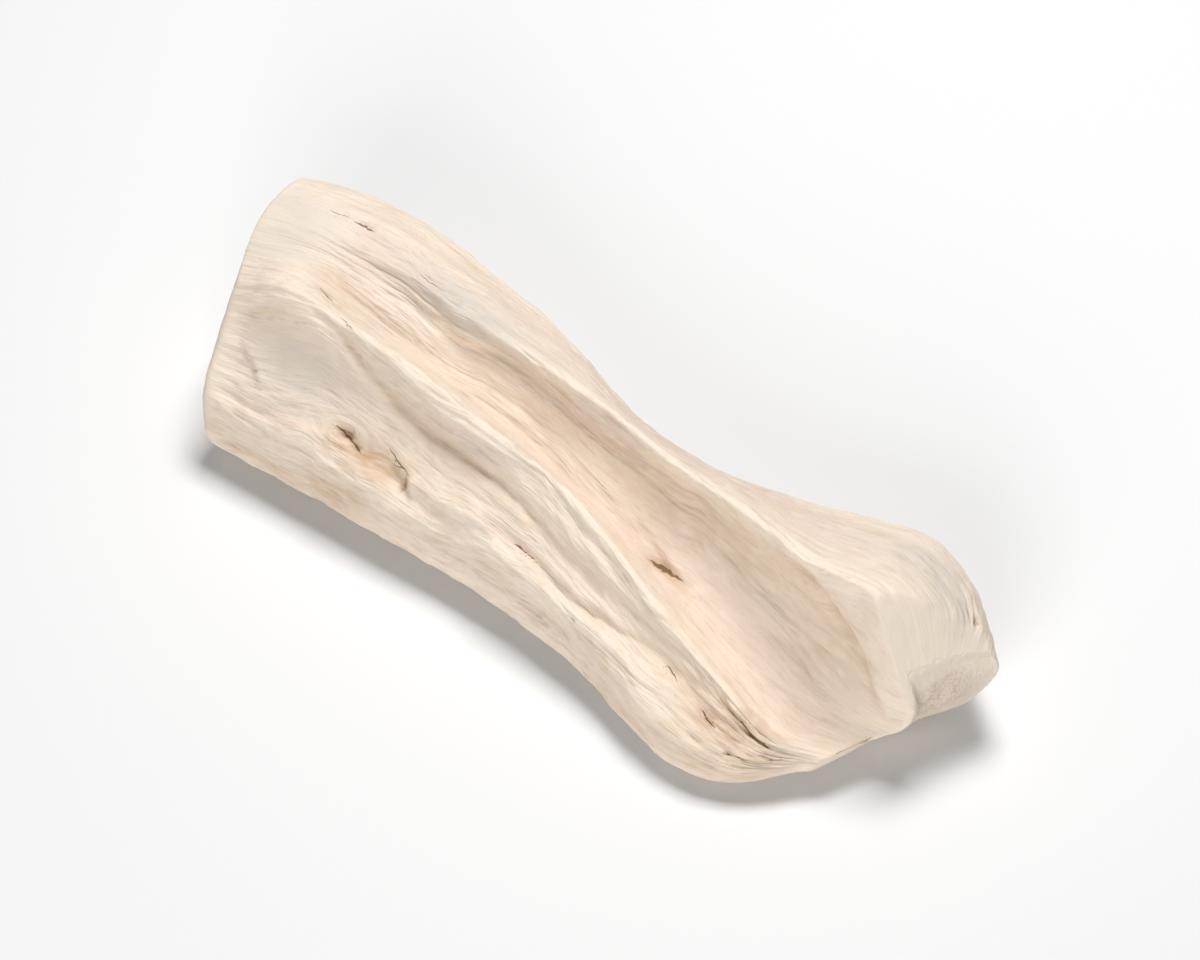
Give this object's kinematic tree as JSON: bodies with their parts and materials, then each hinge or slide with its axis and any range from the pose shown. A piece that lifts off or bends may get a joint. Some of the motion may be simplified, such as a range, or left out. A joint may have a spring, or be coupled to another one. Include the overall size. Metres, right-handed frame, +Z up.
{
  "type": "piece of driftwood",
  "caption": "Chunk of bleached driftwood with a long open groove between two ridges, a waist and blunt broken ends, lying on its flat-worn underside.",
  "frame": {"origin": "middle of the bounding box in plan, on the surface the wood rests on", "axes": "+X along the wood, from the broad left end to the bevelled right end; -Y towards the front face; +Z up"},
  "size_m": [0.2052, 0.073, 0.0472],
  "materials": {
    "bleached_wood": "bare, sandblasted and sun-bleached, matt"
  },
  "bodies": {
    "root": {"driftwood": "bleached_wood"}
  },
  "joints": []
}
